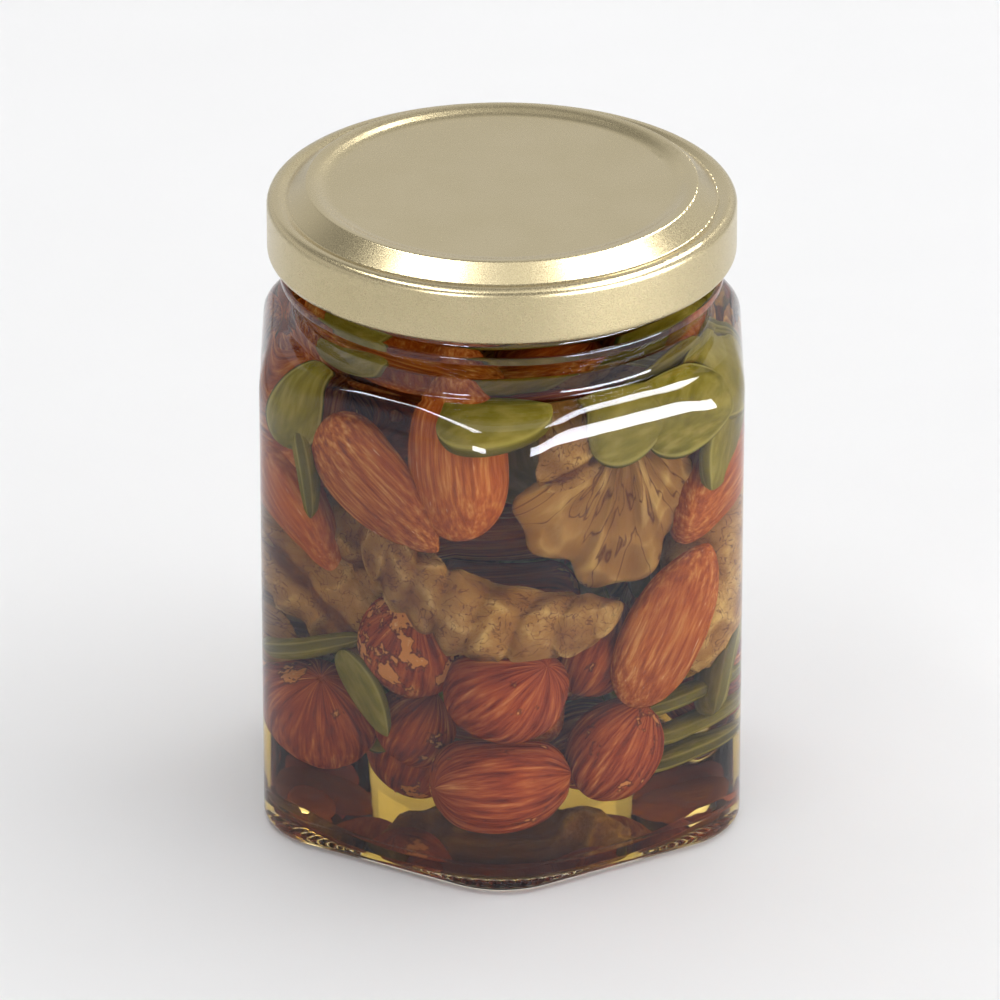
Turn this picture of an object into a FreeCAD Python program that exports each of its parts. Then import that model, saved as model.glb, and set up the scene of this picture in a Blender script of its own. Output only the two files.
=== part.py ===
import FreeCAD, Part
import math
import os

# A hexagonal glass jar of nuts in honey, shut with a twist-off metal lid.
# Millimetres, +Z up. The origin is the middle of the base, and one corner of the hexagon points to -Y.

# Jar body
ACROSS_FLATS = 63.0
CORNER_RADIUS = 12.0
FACE_HEIGHT = 61.9
WALL = 2.7
HEEL_RADIUS = 1.6

# Base: a round push-up leaves a bearing ring, and the floor inside lies level above it
BASE_THICKNESS = 1.5
PUSH_UP_HEIGHT = 0.9
PUSH_UP_DROP = 0.3
PUSH_UP_MARGIN = 6.0
PUSH_UP_SLOPE_WIDTH = 1.9
PUSH_UP_TOP_ROUND = 1.5
PUSH_UP_RIM_ROUND = 0.6
FLOOR_ROUND = 1.8

# Shoulder: the hexagon turns into a circle and flows into the neck
SHOULDER_RISE = 5.7
NECK_SETBACK = 4.5
NECK_ROUND = 1.2

# Neck and finish
NECK_HEIGHT = 17.9
MOUTH_WALL = 2.8
BEAD_REACH = 1.9
BEAD_START = 3.1
BEAD_CREST = 6.4
BEAD_END = 7.4
BEAD_ROUND = 0.5
RIB_COUNT = 4
RIB_SPAN = 55.0
RIB_REACH = 1.3
RIB_HEIGHT = 1.2
LUG_TO_RIB = 0.2

# Lid
METAL = 0.3
LID_OVERHANG = 3.5
LID_HEIGHT = 9.6
PANEL_MARGIN = 1.4
PANEL_DROP = 0.7
CREST_MARGIN = 0.2
CREST_WIDTH = 1.0
GROOVE_MARGIN = 1.0
GROOVE_DROP = 2.15
SHOULDER_BEAD_SET = 1.0
SHOULDER_BEAD_DROP = 1.85
PANEL_ROUND = 2.5
CREASE_ROUND = 0.4
GROOVE_ROUND = 0.35
SHOULDER_BEAD_ROUND = 0.8
SKIRT_ROUND = 1.1
CURL_RADIUS = 0.9
LUG_SPAN = 14.0
LUG_HEIGHT = 1.2
LUG_CLEARANCE = 0.45

# Honey: filled to just under the lid
HEADSPACE = 3.5

# How the shapes are worked out
SIDES = 6
HALF_SIDE_ANGLE = math.pi / SIDES
FULL_TURN = 360.0
SHOULDER_STEPS = 7
SHOULDER_LAST_ANGLE = 84.0
NEAR_FULL = 0.999
TOOL_DEPTH = 1.0

# Places worked out from the sizes above
half_flats = ACROSS_FLATS / 2
shoulder_top = FACE_HEIGHT + SHOULDER_RISE
floor_height = PUSH_UP_HEIGHT + BASE_THICKNESS
neck_radius = half_flats - NECK_SETBACK
bore_radius = neck_radius - MOUTH_WALL
rim_radius = MOUTH_WALL / 2
rim_middle = bore_radius + rim_radius
rim_top = shoulder_top + NECK_HEIGHT
rim_center = rim_top - rim_radius
lid_radius = neck_radius + LID_OVERHANG
crest_radius = rim_middle - CREST_MARGIN
groove_radius = neck_radius + GROOVE_MARGIN


def point(radius, height):
    return FreeCAD.Vector(radius, 0, height)


def ring_slope():
    """Angle below level of the lid ring's outer slope."""
    return math.atan2(GROOVE_DROP, groove_radius - crest_radius)


def crest_height():
    """Height of the lid's ring when its slope lies on the round rim of the glass."""
    slope = ring_slope()
    reach = rim_radius + METAL
    above_center = (reach - (crest_radius - rim_middle) * math.sin(slope)) / math.cos(slope)
    return rim_center + above_center


lid_top = crest_height()
skirt_bottom = lid_top - LID_HEIGHT
lug_bottom = skirt_bottom + CURL_RADIUS - LUG_HEIGHT / 2
panel_underside = lid_top - PANEL_DROP - METAL
honey_level = panel_underside - HEADSPACE


def rounded_wire(corners):
    """Closed wire in the XZ plane through corners (radius, height, rounding)."""
    places = [point(radius, height) for radius, height, rounding in corners]
    count = len(corners)
    starts = []
    ends = []
    arcs = []
    for index, place in enumerate(places):
        rounding = corners[index][2]
        back = (places[index - 1] - place).normalize()
        ahead = (places[(index + 1) % count] - place).normalize()
        if rounding == 0:
            starts.append(place)
            ends.append(place)
            arcs.append(None)
            continue
        half_angle = back.getAngle(ahead) / 2
        setback = rounding / math.tan(half_angle)
        bisector = (back + ahead).normalize()
        to_middle = rounding / math.sin(half_angle) - rounding
        starts.append(place + back * setback)
        ends.append(place + ahead * setback)
        arcs.append(Part.Arc(starts[-1], place + bisector * to_middle, ends[-1]))
    edges = []
    for index in range(count):
        if arcs[index]:
            edges.append(arcs[index].toShape())
        begin = ends[index]
        finish = starts[(index + 1) % count]
        edges.append(Part.LineSegment(begin, finish).toShape())
    return Part.Wire(edges)


def turned(corners, angle=FULL_TURN):
    """Solid turned about Z from a closed outline."""
    face = Part.Face(rounded_wire(corners))
    return face.revolve(FreeCAD.Vector(0, 0, 0), FreeCAD.Vector(0, 0, 1), angle)


def inset_corners(corners, depth):
    """The outline moved to its right by depth, as the inner skin of a sheet follows its outer skin."""
    moved = []
    for index in range(1, len(corners) - 1):
        before, here, after = corners[index - 1:index + 2]
        first = math.atan2(here[1] - before[1], here[0] - before[0])
        second = math.atan2(after[1] - here[1], after[0] - here[0])
        turn = second - first
        miter = depth / math.cos(turn / 2)
        normal = (first + second) / 2 - math.pi / 2
        rounding = here[2] + math.copysign(depth, turn)
        moved.append((here[0] + miter * math.cos(normal), here[1] + miter * math.sin(normal), rounding))
    return moved


def hexagon_reach(flat, corner_radius):
    """Distance from the axis to the rounded corners."""
    return corner_radius + (flat - corner_radius) / math.cos(HALF_SIDE_ANGLE)


def hexagon_wire(flat, reach, height):
    """Hexagon with rounded corners, given its half width over flats and its reach at the corners."""
    stretch = 1 / math.cos(HALF_SIDE_ANGLE)
    rounding = (flat * stretch - reach) / (stretch - 1)
    center_distance = reach - rounding
    edges = []
    starts = []
    ends = []
    for side in range(SIDES):
        angle = -math.pi / 2 + 2 * HALF_SIDE_ANGLE * side
        middle = FreeCAD.Vector(center_distance * math.cos(angle), center_distance * math.sin(angle), height)
        spread = [angle - HALF_SIDE_ANGLE, angle, angle + HALF_SIDE_ANGLE]
        places = [middle + FreeCAD.Vector(math.cos(a), math.sin(a), 0) * rounding for a in spread]
        edges.append(Part.Arc(*places).toShape())
        starts.append(places[0])
        ends.append(places[2])
    for side in range(SIDES):
        edges.append(Part.LineSegment(ends[side], starts[(side + 1) % SIDES]).toShape())
    return Part.Wire(Part.__sortEdges__(edges))


def hexagon_prism(flat, reach, bottom, top, edge_round):
    """Upright hexagonal block whose bottom edges are rounded."""
    face = Part.Face(hexagon_wire(flat, reach, bottom))
    block = face.extrude(FreeCAD.Vector(0, 0, top - bottom))
    low_edges = [edge for edge in block.Edges if edge.BoundBox.ZMax < bottom + edge_round / 2]
    return block.makeFillet(edge_round, low_edges)


def shoulder(flat, reach, foot_radius, bottom, top):
    """Block that turns from the hexagon into nearly a circle, along a quarter of an ellipse."""
    last_angle = math.radians(SHOULDER_LAST_ANGLE)
    sections = []
    for step in range(SHOULDER_STEPS + 1):
        angle = last_angle * step / SHOULDER_STEPS
        height = bottom + (top - bottom) * math.sin(angle) / math.sin(last_angle)
        share = math.cos(angle)
        section_flat = foot_radius + (flat - foot_radius) * share
        section_reach = foot_radius + (reach - foot_radius) * share
        sections.append(hexagon_wire(section_flat, section_reach, height))
    return Part.makeLoft(sections, True)


def body(inset, bottom, edge_round):
    """Block of the jar's body below the neck, its skin moved in by inset."""
    flat = half_flats - inset
    reach = hexagon_reach(flat, CORNER_RADIUS - inset)
    foot_radius = neck_radius + NECK_ROUND - inset
    prism = hexagon_prism(flat, reach, bottom, FACE_HEIGHT, edge_round)
    dome = shoulder(flat, reach, foot_radius, FACE_HEIGHT, shoulder_top - inset)
    return prism.fuse(dome)


def push_up():
    """What the mould takes out of the underside."""
    edge = half_flats - PUSH_UP_MARGIN
    flat_end = edge + PUSH_UP_RIM_ROUND * 2
    return turned([
        (0, PUSH_UP_HEIGHT, 0),
        (edge - PUSH_UP_SLOPE_WIDTH, PUSH_UP_HEIGHT - PUSH_UP_DROP, PUSH_UP_TOP_ROUND),
        (edge, 0, PUSH_UP_RIM_ROUND),
        (flat_end, 0, 0),
        (flat_end, -TOOL_DEPTH, 0),
        (0, -TOOL_DEPTH, 0),
    ])


def neck():
    """Neck, bead and finish, solid to the axis."""
    foot_radius = neck_radius + NECK_ROUND
    bead_radius = neck_radius + BEAD_REACH
    inside = FACE_HEIGHT + SHOULDER_RISE / 2
    return turned([
        (0, inside, 0),
        (foot_radius, inside, 0),
        (foot_radius, shoulder_top, 0),
        (neck_radius, shoulder_top, NECK_ROUND * NEAR_FULL),
        (neck_radius, shoulder_top + BEAD_START, NECK_ROUND),
        (bead_radius, shoulder_top + BEAD_CREST - BEAD_ROUND, BEAD_ROUND),
        (bead_radius, shoulder_top + BEAD_CREST + BEAD_ROUND, BEAD_ROUND),
        (neck_radius, shoulder_top + BEAD_END, BEAD_ROUND),
        (neck_radius, rim_top, rim_radius * NEAR_FULL),
        (bore_radius, rim_top, rim_radius * NEAR_FULL),
        (bore_radius, rim_center - TOOL_DEPTH, 0),
        (0, rim_center - TOOL_DEPTH, 0),
    ])


def thread_ribs():
    """The ribs that the lid's lugs turn under."""
    low = lug_bottom + LUG_HEIGHT + LUG_TO_RIB
    crest = neck_radius + RIB_REACH
    root = rim_middle
    lead = RIB_HEIGHT / 4
    rib = turned([
        (root, low, 0),
        (neck_radius, low, 0),
        (crest, low + lead, 0),
        (crest, low + RIB_HEIGHT - lead, 0),
        (neck_radius, low + RIB_HEIGHT, 0),
        (root, low + RIB_HEIGHT, 0),
    ], RIB_SPAN)
    return ring_of(rib, RIB_COUNT, -RIB_SPAN / 2)


def ring_of(solid, count, first_angle):
    """Copies of a solid spaced evenly round the axis."""
    copies = []
    for index in range(count):
        copy = solid.copy()
        angle = first_angle + FULL_TURN * index / count
        copy.rotate(FreeCAD.Vector(0, 0, 0), FreeCAD.Vector(0, 0, 1), angle)
        copies.append(copy)
    return copies


def cavity(top):
    """The room inside the glass, up to a level in the neck."""
    foot_radius = neck_radius + NECK_ROUND - WALL
    ceiling = shoulder_top - WALL
    bore_round = foot_radius - bore_radius
    throat = turned([
        (0, FACE_HEIGHT, 0),
        (foot_radius, FACE_HEIGHT, 0),
        (foot_radius, ceiling, 0),
        (bore_radius, ceiling, bore_round * NEAR_FULL),
        (bore_radius, top, 0),
        (0, top, 0),
    ])
    return body(WALL, floor_height, FLOOR_ROUND).fuse(throat)


def make_jar():
    outside = body(0, 0, HEEL_RADIUS).fuse([neck()] + thread_ribs())
    hollow = cavity(rim_top + TOOL_DEPTH)
    return outside.cut([hollow, push_up()]).removeSplitter()


def make_honey():
    return cavity(honey_level).removeSplitter()


def make_lid():
    panel = lid_top - PANEL_DROP
    panel_radius = bore_radius - PANEL_MARGIN
    bead_top = lid_top - SHOULDER_BEAD_DROP
    curl_inside = lid_radius - 2 * CURL_RADIUS
    curl_top = skirt_bottom + 2 * CURL_RADIUS
    skin = [
        (0, panel, 0),
        (panel_radius, panel, PANEL_ROUND),
        (crest_radius - CREST_WIDTH, lid_top, PANEL_ROUND),
        (crest_radius, lid_top, CREASE_ROUND),
        (groove_radius, lid_top - GROOVE_DROP, GROOVE_ROUND),
        (groove_radius + SHOULDER_BEAD_SET, bead_top, SHOULDER_BEAD_ROUND),
        (lid_radius, bead_top, SKIRT_ROUND),
        (lid_radius, skirt_bottom, CURL_RADIUS),
    ]
    curl = [
        (curl_inside, skirt_bottom, CURL_RADIUS * NEAR_FULL),
        (curl_inside, curl_top, CURL_RADIUS * NEAR_FULL),
        (lid_radius - METAL, curl_top, 0),
    ]
    inner_skin = inset_corners(skin, METAL)
    inner_skin.reverse()
    shell = turned(skin + curl + inner_skin + [(0, panel - METAL, 0)])
    lug_tip = neck_radius + LUG_CLEARANCE
    lug_root = lid_radius - CURL_RADIUS
    lug = turned([
        (lug_tip, lug_bottom, 0),
        (lug_root, lug_bottom, 0),
        (lug_root, lug_bottom + LUG_HEIGHT, 0),
        (lug_tip, lug_bottom + LUG_HEIGHT, 0),
    ], LUG_SPAN)
    return shell.fuse(ring_of(lug, RIB_COUNT, -LUG_SPAN / 2)).removeSplitter()


def write(name, shape):
    solid = shape.Solids[0]
    print(name, len(shape.Solids), "solid, valid", solid.isValid(), "volume", round(solid.Volume, 1))
    solid.exportStep(f"parts/{name}.step")


os.makedirs("parts", exist_ok=True)
write("jar", make_jar())
write("honey", make_honey())
write("lid", make_lid())
print("rim", round(rim_top, 2), "honey", round(honey_level, 2), "lid", round(skirt_bottom, 2), round(lid_top, 2))
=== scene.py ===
import math

import bpy
import numpy as np
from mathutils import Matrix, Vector


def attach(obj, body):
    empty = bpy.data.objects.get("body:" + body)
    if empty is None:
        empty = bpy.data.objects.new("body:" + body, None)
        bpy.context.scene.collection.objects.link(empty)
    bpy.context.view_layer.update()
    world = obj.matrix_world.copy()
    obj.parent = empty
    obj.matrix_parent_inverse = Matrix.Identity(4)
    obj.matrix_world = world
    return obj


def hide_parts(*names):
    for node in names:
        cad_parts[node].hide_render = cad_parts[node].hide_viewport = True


# A hexagonal honey jar full of almonds, hazelnuts, walnuts and pumpkin seeds.
# Sizes here are in millimetres, in the same frame as the CAD model, and meshes are scaled to metres.

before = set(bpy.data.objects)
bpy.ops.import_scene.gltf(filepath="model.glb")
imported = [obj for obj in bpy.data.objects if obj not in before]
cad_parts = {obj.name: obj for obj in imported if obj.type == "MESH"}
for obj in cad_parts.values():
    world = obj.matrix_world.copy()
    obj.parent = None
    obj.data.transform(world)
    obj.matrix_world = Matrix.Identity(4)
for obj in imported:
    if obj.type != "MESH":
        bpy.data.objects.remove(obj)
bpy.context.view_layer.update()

MM = 0.001
SEED = 11

# Glass, as in part.py
HALF_FLATS = 31.5
CORNER_RADIUS = 12.0
WALL = 2.7
FACE_HEIGHT = 61.9
SHOULDER_TOP = 67.6
SHOULDER_LAST = math.radians(84)
HEEL = 1.6
NECK = 27.0
FOOT_ROUND = 1.2
BORE = 24.2
RIM_TOP = 85.5
RIM_ROUND = 1.4
FLOOR = 2.4
FLOOR_ROUND = 1.8
HONEY_LEVEL = 81.97
SIDES = 6
STRETCH = 1 / math.cos(math.pi / SIDES)
REACH = CORNER_RADIUS + (HALF_FLATS - CORNER_RADIUS) * STRETCH
INNER_FLATS = HALF_FLATS - WALL
INNER_REACH = REACH - WALL
AROUND = 480
RIBS = 4
RIB_HALF_SPAN = 27.5
RIB_REACH = 1.3
RIB_LOW = 78.57
RIB_HIGH = 79.77
PUSH_UP_HEIGHT = 0.9
PUSH_UP_EDGE = 23.6
FOOT_INSIDE = 25.5
KNURLS = 120
KNURL_DEPTH = 0.3
KNURL_MIDDLE = 28.0
KNURL_ROWS = (26.9, 27.4, 28.1, 28.6, 29.1)
HONEY_OVERLAP = 0.15

# How much each surface bends light; honey in the wall adds nothing to what the glass does
GLASS_INDEX = 1.52
HONEY_INDEX = 1.49
GLASS_AGAINST_HONEY = 1.02
HONEY_IN_WALL = 1.0

# Where nuts may lie
NUTS_BOTTOM = 12.0
NUTS_TOP = 78.0
SHOWN_BOTTOM = 2.8
CLEARANCE = 0.4
FRONT_DEPTH = 11.0
ROUNDS = 260
HOLDING_ROUNDS = 40


# ---------------------------------------------------------------- numbers

def lattice(x, y, z, seed):
    """A fixed random number from 0 to 1 for each whole-number place."""
    mixed = (x * 374761393 + y * 668265263 + z * 1274126177 + seed * 1013904223) & 0xFFFFFFFF
    mixed = ((mixed ^ (mixed >> 13)) * 1103515245) & 0xFFFFFFFF
    return ((mixed ^ (mixed >> 16)) & 0xFFFF) / 65535.0


def noise(places, size, seed):
    """Smooth noise from -1 to 1 with lumps about size across."""
    scaled = np.asarray(places, float) / size
    cell = np.floor(scaled).astype(np.int64)
    part = scaled - cell
    part = part * part * (3 - 2 * part)
    total = 0
    for corner in np.ndindex(2, 2, 2):
        weight = np.prod(np.where(corner, part, 1 - part), axis=-1)
        shifted = cell + np.array(corner)
        total = total + weight * lattice(shifted[..., 0], shifted[..., 1], shifted[..., 2], seed)
    return total * 2 - 1


def unit(vector):
    return np.asarray(vector, float) / np.linalg.norm(vector)


def linear(red, green, blue):
    """Colour for a shader from the 0 to 255 values seen on a screen."""
    parts = []
    for value in (red, green, blue):
        share = value / 255
        parts.append(share / 12.92 if share <= 0.04045 else ((share + 0.055) / 1.055) ** 2.4)
    return (*parts, 1.0)


# ---------------------------------------------------------------- meshes

def closed_faces(rows, columns, first=0):
    """Faces of a surface of rings between two pole points, which are the first and last vertices."""
    ring = np.arange(columns)
    after = (ring + 1) % columns
    last = first + rows * columns + 1
    low = first + 1
    faces = np.stack([np.full(columns, first), low + after, low + ring], axis=1).tolist()
    for row in range(rows - 1):
        below = low + row * columns
        above = below + columns
        quads = np.stack([below + ring, below + after, above + after, above + ring], axis=1)
        faces.extend(quads.tolist())
    top = low + (rows - 1) * columns
    faces.extend(np.stack([top + ring, top + after, np.full(columns, last)], axis=1).tolist())
    return faces


def make_object(name, vertices, faces, materials):
    """Mesh object from millimetre vertices."""
    mesh = bpy.data.meshes.new(name)
    mesh.from_pydata((np.asarray(vertices) * MM).tolist(), [], faces)
    mesh.shade_smooth()
    for material in materials:
        mesh.materials.append(material)
    made = bpy.data.objects.new(name, mesh)
    bpy.context.scene.collection.objects.link(made)
    return made


def rounded_outline(corners, steps):
    """Points along an outline of (radius, height, rounding) corners, with arcs at the rounded ones."""
    points = [np.array(corners[0][:2], float)]
    for index in range(1, len(corners) - 1):
        here = np.array(corners[index][:2], float)
        rounding = corners[index][2]
        back = unit(np.array(corners[index - 1][:2]) - here)
        ahead = unit(np.array(corners[index + 1][:2]) - here)
        if rounding == 0:
            points.append(here)
            continue
        half = math.acos(np.clip(back @ ahead, -1, 1)) / 2
        middle = here + unit(back + ahead) * rounding / math.sin(half)
        start = here + back * rounding / math.tan(half)
        sweep = math.pi - 2 * half
        turn = math.copysign(sweep, back[0] * ahead[1] - back[1] * ahead[0])
        arm = start - middle
        for step in range(steps + 1):
            angle = -turn * step / steps
            points.append(middle + np.array([
                arm[0] * math.cos(angle) - arm[1] * math.sin(angle),
                arm[0] * math.sin(angle) + arm[1] * math.cos(angle),
            ]))
    points.append(np.array(corners[-1][:2], float))
    return points


def ring_radii(flat, reach, angles):
    """Distance from the axis of a hexagon with rounded corners, or of a circle if flat equals reach."""
    rounding = (flat * STRETCH - reach) / (STRETCH - 1)
    center = reach - rounding
    side = 2 * math.pi / SIDES
    from_corner = np.abs((angles + math.pi / 2 + side / 2) % side - side / 2)
    arc_end = math.atan2(rounding * math.sin(side / 2), center + rounding * math.cos(side / 2))
    inside = np.maximum(rounding ** 2 - (center * np.sin(from_corner)) ** 2, 0)
    on_arc = center * np.cos(from_corner) + np.sqrt(inside)
    on_flat = flat / np.cos(side / 2 - from_corner)
    return np.where(from_corner <= arc_end, on_arc, on_flat)


def circle_stations(points):
    return [(radius, radius, height) for radius, height in points]


def shoulder_stations(inset, top, steps):
    """Hexagon turning into a circle along a quarter of an ellipse, from the faces up."""
    foot = NECK + FOOT_ROUND - inset
    stations = []
    for step in range(1, steps + 1):
        angle = SHOULDER_LAST * step / steps
        height = FACE_HEIGHT + (top - FACE_HEIGHT) * math.sin(angle) / math.sin(SHOULDER_LAST)
        share = math.cos(angle)
        flat = foot + (HALF_FLATS - inset - foot) * share
        reach = foot + (REACH - inset - foot) * share
        stations.append((flat, reach, height))
    return stations


def heel_stations(flat, reach, bottom, rounding, steps):
    stations = []
    for step in range(steps + 1):
        angle = math.pi / 2 * step / steps
        inset = rounding * (1 - math.sin(angle))
        stations.append((flat - inset, reach - inset, bottom + rounding * (1 - math.cos(angle))))
    return stations


def face_stations(flat, reach, low, high, steps):
    return [(flat, reach, low + (high - low) * step / steps) for step in range(1, steps + 1)]


def outer_stations():
    """Outside of the glass from the middle of the underside up to the rim."""
    underside = rounded_outline([
        (3, PUSH_UP_HEIGHT - 0.03, 0),
        (PUSH_UP_EDGE, PUSH_UP_HEIGHT - 0.3, 1.5),
        (FOOT_INSIDE, 0, 0.6),
        (FOOT_INSIDE + 1.1, 0, 0),
    ], 5)
    stations = circle_stations(underside)
    stations += circle_stations([(radius, 0) for radius in KNURL_ROWS])
    stations += heel_stations(HALF_FLATS, REACH, 0, HEEL, 8)
    stations += face_stations(HALF_FLATS, REACH, HEEL, FACE_HEIGHT, 26)
    stations += shoulder_stations(0, SHOULDER_TOP, 14)
    finish = rounded_outline([
        (NECK + FOOT_ROUND, SHOULDER_TOP, 0),
        (NECK, SHOULDER_TOP, FOOT_ROUND * 0.999),
        (NECK, 70.7, FOOT_ROUND),
        (28.9, 73.5, 0.5),
        (28.9, 74.5, 0.5),
        (NECK, 75.0, 0.5),
        (NECK, RIB_LOW, 0),
        (NECK, RIB_LOW + 0.3, 0),
        (NECK, RIB_HIGH - 0.3, 0),
        (NECK, RIB_HIGH, 0),
        (NECK, RIM_TOP, RIM_ROUND * 0.999),
        (BORE, RIM_TOP, RIM_ROUND * 0.999),
        (BORE, HONEY_LEVEL + 0.5, 0),
    ], 6)
    return stations + circle_stations(finish[1:])


def inner_stations(grow):
    """Inside of the glass from the floor up to the honey's level, moved into the wall by grow."""
    flat = INNER_FLATS + grow
    reach = INNER_REACH + grow
    bottom = FLOOR - grow
    stations = circle_stations([(2, bottom), (8, bottom), (14, bottom), (19, bottom), (22.5, bottom)])
    stations += heel_stations(flat, reach, bottom, FLOOR_ROUND, 8)
    stations += face_stations(flat, reach, bottom + FLOOR_ROUND, FACE_HEIGHT, 20)
    stations += shoulder_stations(WALL - grow, SHOULDER_TOP - WALL + grow, 10)
    bore = rounded_outline([
        (NECK + FOOT_ROUND - WALL + grow, SHOULDER_TOP - WALL + grow, 0),
        (BORE + grow, SHOULDER_TOP - WALL + grow, 1.3 * 0.999),
        (BORE + grow, 70, 0),
        (BORE + grow, 76, 0),
        (BORE + grow, HONEY_LEVEL, 0),
    ], 5)
    return stations + circle_stations(bore[1:])


def rings(stations, columns):
    """Points of the rings, as (row, column, xyz)."""
    angles = np.arange(columns) * 2 * math.pi / columns
    rows = []
    for flat, reach, height in stations:
        radii = ring_radii(flat, reach, angles)
        level = np.full(columns, height)
        rows.append(np.stack([radii * np.cos(angles), radii * np.sin(angles), level], axis=1))
    return np.array(rows)


def moved_in(points, depth):
    """Points moved towards the axis by depth."""
    across = np.linalg.norm(points[..., :2], axis=-1, keepdims=True)
    moved = points.copy()
    moved[..., :2] -= points[..., :2] / np.maximum(across, 1) * depth[..., None]
    return moved


def wavy_outside(points):
    """The moulded faces are a little hollow and uneven, which bends reflections."""
    on_face = np.clip(np.minimum(points[..., 2] - HEEL, SHOULDER_TOP - points[..., 2]) / 3, 0, 1)
    waves = noise(points, 17, 1) * 0.6 + noise(points, 7, 2) * 0.25
    return moved_in(points, 0.03 * (1 + waves) * on_face)


def wavy_inside(points):
    """Blown glass varies in thickness."""
    on_face = np.clip(np.minimum(points[..., 2] - FLOOR, SHOULDER_TOP - points[..., 2]) / 6, 0, 1)
    waves = noise(points, 23, 3) + noise(points, 11, 4) * 0.4
    return moved_in(points, 0.16 * waves * on_face)


def with_ribs(points):
    """Thread ribs under the lid."""
    degrees = np.degrees(np.arctan2(points[..., 1], points[..., 0]))
    turn = 360 / RIBS
    from_rib = np.abs((degrees + turn / 2) % turn - turn / 2)
    along = np.clip((RIB_HALF_SPAN - from_rib) / 1.0, 0, 1)
    inside = (points[..., 2] > RIB_LOW + 0.1) & (points[..., 2] < RIB_HIGH - 0.1)
    outer = np.linalg.norm(points[..., :2], axis=-1) > NECK - 0.5
    return moved_in(points, -RIB_REACH * along * inside * outer)


def with_knurls(points):
    """Fine teeth in the ring that the jar stands on."""
    across = np.linalg.norm(points[..., :2], axis=-1)
    angles = np.arctan2(points[..., 1], points[..., 0])
    in_ring = np.clip(1 - np.abs(across - KNURL_MIDDLE), 0, 1) * (points[..., 2] < 0.2)
    moved = points.copy()
    moved[..., 2] += KNURL_DEPTH * in_ring * (0.5 - 0.5 * np.cos(angles * KNURLS))
    return moved


def make_glass():
    """The whole jar as one closed skin; faces against the honey have their own material."""
    outside = with_knurls(with_ribs(wavy_outside(rings(outer_stations(), AROUND))))
    inside = wavy_inside(rings(inner_stations(0), AROUND))[::-1]
    grid = np.concatenate([outside, inside])
    rows = len(grid)
    vertices = np.concatenate([[[0, 0, PUSH_UP_HEIGHT]], grid.reshape(-1, 3), [[0, 0, FLOOR]]])
    materials = [glass_material(), wet_glass_material()]
    glass = make_object("jar_glass", vertices, closed_faces(rows, AROUND), materials)
    wet = np.zeros(len(glass.data.polygons), np.int32)
    wet[AROUND * (len(outside) + 1):] = 1
    glass.data.polygons.foreach_set("material_index", wet)
    return glass


def make_honey():
    """Honey reaching just into the wall, so that no air shows between them."""
    side = wavy_inside(rings(inner_stations(HONEY_OVERLAP), AROUND))
    top_radii = (BORE - 1.5, BORE - 6, BORE - 14, 3)
    top = rings(circle_stations([(radius, HONEY_LEVEL) for radius in top_radii]), AROUND)
    grid = np.concatenate([side, top])
    vertices = np.concatenate([
        [[0, 0, FLOOR - HONEY_OVERLAP]],
        grid.reshape(-1, 3),
        [[0, 0, HONEY_LEVEL]],
    ])
    materials = [honey_material("honey", HONEY_INDEX), honey_material("honey_at_wall", HONEY_IN_WALL)]
    honey = make_object("honey_fill", vertices, closed_faces(len(grid), AROUND), materials)
    at_wall = np.zeros(len(honey.data.polygons), np.int32)
    at_wall[:AROUND * len(side)] = 1
    honey.data.polygons.foreach_set("material_index", at_wall)
    return honey


# ---------------------------------------------------------------- nut shapes
# Each shape has its length along X, its width along Y and its thickness along Z.

def spindle(rows, columns):
    """Shares along the length and angles round it, for shapes made of rings."""
    steps = (np.arange(rows) + 0.5) / rows
    along = 0.5 - 0.5 * np.cos(math.pi * steps)
    around = np.arange(columns) * 2 * math.pi / columns
    return np.meshgrid(along, around, indexing="ij")


def skin(x, y, z, length):
    """Closed surface from rings along X."""
    points = np.stack([x, y, z], axis=-1).reshape(-1, 3)
    rows, columns = x.shape
    vertices = np.concatenate([[[-length / 2, 0, 0]], points, [[length / 2, 0, 0]]])
    faces = [face[::-1] for face in closed_faces(rows, columns)]
    return vertices, faces


def almond(length, width, thickness, seed):
    """Blunt at one end and pointed at the other, with shallow furrows along it."""
    along, around = spindle(40, 60)
    broad = along ** 0.5 * (1 - along) ** 0.74
    broad = broad / broad.max()
    thick = along ** 0.5 * (1 - along) ** 0.6
    thick = thick / thick.max()
    x = (along - 0.5) * length
    y = width / 2 * broad * np.cos(around)
    z = thickness / 2 * thick * np.sign(np.sin(around)) * np.abs(np.sin(around)) ** 0.9
    places = np.stack([x * 0.12, y, z], axis=-1) + seed * 7.3
    furrows = noise(places, 1.3, seed) * 0.5 + noise(places, 0.7, seed + 1) * 0.25
    lumps = noise(np.stack([x, y, z], axis=-1) + seed, 6, seed + 2)
    swell = 1 + 0.045 * furrows + 0.05 * lumps
    bend = 0.5 * np.sin(along * math.pi) * noise(np.array([[seed * 3.1, 0, 0]]), 1, seed)[0]
    vertices, faces = skin(x, y * swell + bend, z * swell, length)
    return vertices, faces, vertices * (0.065, 1, 1)


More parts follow.
